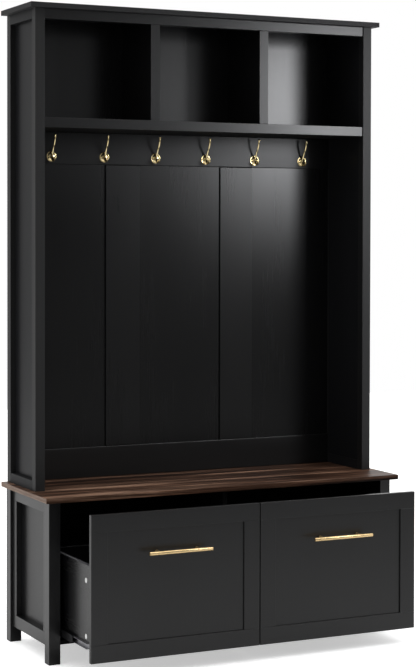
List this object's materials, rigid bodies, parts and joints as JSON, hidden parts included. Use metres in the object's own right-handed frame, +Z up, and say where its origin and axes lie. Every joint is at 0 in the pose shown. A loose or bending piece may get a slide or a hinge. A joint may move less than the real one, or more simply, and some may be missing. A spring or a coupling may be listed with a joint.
{
  "type": "hall tree",
  "caption": "Black hall tree with a walnut-topped bench, drawers on telescopic runners, gold coat hooks on a back rail and open cubbies under the crown board.",
  "frame": {"origin": "on the floor, under the middle of the part's box with the drawers open as stored", "axes": "+Z up, -Y to the front where the drawers open, +X to the right seen from the front"},
  "size_m": [1.2, 0.62, 1.95],
  "materials": {
    "black_paint": "satin black paint on board, faint brushed grain",
    "black_laminate": "satin black laminate on board",
    "walnut": "dark walnut laminate, satin",
    "gold": "gold plating, polished on the hooks and satin on the handles",
    "runner_steel": "zinc-plated sheet steel",
    "white_plastic": "white plastic caps over the cam locks"
  },
  "bodies": {
    "root": {"bench_floor": "black_laminate", "bench_partition": "black_laminate", "bench_back_panel": "black_laminate", "bench_top": "walnut", "crown_board": "black_paint", "hutch_back_panel": "black_paint", "hutch_back_bottom_rail": "black_paint", "hook_rail": "black_paint", "cubby_shelf": "black_paint", "cubby_front_rail": "black_paint", "bench_leg_front_left": "black_paint", "bench_leg_rear_left": "black_paint", "bench_side_panel_left": "black_paint", "hutch_post_front_left": "black_paint", "hutch_post_rear_left": "black_paint", "hutch_side_bottom_rail_left": "black_paint", "hutch_side_top_rail_left": "black_paint", "hutch_side_panel_left": "black_paint", "hutch_back_batten_left": "black_paint", "cubby_divider_left": "black_paint", "runner_cabinet_outer_left": "runner_steel", "runner_cabinet_inner_left": "runner_steel", "bench_leg_front_right": "black_paint", "bench_leg_rear_right": "black_paint", "bench_side_panel_right": "black_paint", "hutch_post_front_right": "black_paint", "hutch_post_rear_right": "black_paint", "hutch_side_bottom_rail_right": "black_paint", "hutch_side_top_rail_right": "black_paint", "hutch_side_panel_right": "black_paint", "hutch_back_batten_right": "black_paint", "cubby_divider_right": "black_paint", "runner_cabinet_outer_right": "runner_steel", "runner_cabinet_inner_right": "runner_steel", "coat_hook_1": "gold", "coat_hook_2": "gold", "coat_hook_3": "gold", "coat_hook_4": "gold", "coat_hook_5": "gold", "coat_hook_6": "gold"},
    "drawer_left": {"drawer_front_left": "black_paint", "drawer_outer_side_left": "black_laminate", "drawer_inner_side_left": "black_laminate", "drawer_back_left": "black_laminate", "drawer_bottom_left": "black_laminate", "drawer_handle_left": "gold", "runner_drawer_outer_left": "runner_steel", "runner_drawer_inner_left": "runner_steel"},
    "carriages_left": {"runner_carriage_outer_left": "runner_steel", "runner_carriage_inner_left": "runner_steel"},
    "drawer_right": {"drawer_front_right": "black_paint", "drawer_outer_side_right": "black_laminate", "drawer_inner_side_right": "black_laminate", "drawer_back_right": "black_laminate", "drawer_bottom_right": "black_laminate", "drawer_handle_right": "gold", "runner_drawer_outer_right": "runner_steel", "runner_drawer_inner_right": "runner_steel"},
    "carriages_right": {"runner_carriage_outer_right": "runner_steel", "runner_carriage_inner_right": "runner_steel"}
  },
  "joints": [
    {"name": "drawer_left_slide", "type": "slide", "parent": "root", "child": "drawer_left", "axis": [0, -1, 0], "range_m": [-0.217, 0.083]},
    {"name": "drawer_right_slide", "type": "slide", "parent": "root", "child": "drawer_right", "axis": [0, -1, 0], "range_m": [-0.217, 0.083]},
    {"name": "carriages_left_slide", "type": "slide", "parent": "root", "child": "carriages_left", "axis": [0, -1, 0], "range_m": [-0.1085, 0.0415]},
    {"name": "carriages_right_slide", "type": "slide", "parent": "root", "child": "carriages_right", "axis": [0, -1, 0], "range_m": [-0.1085, 0.0415]}
  ],
  "couplings": [
    {"joint": "carriages_left_slide", "follows": "drawer_left_slide", "ratio": 0.5},
    {"joint": "carriages_right_slide", "follows": "drawer_right_slide", "ratio": 0.5}
  ]
}
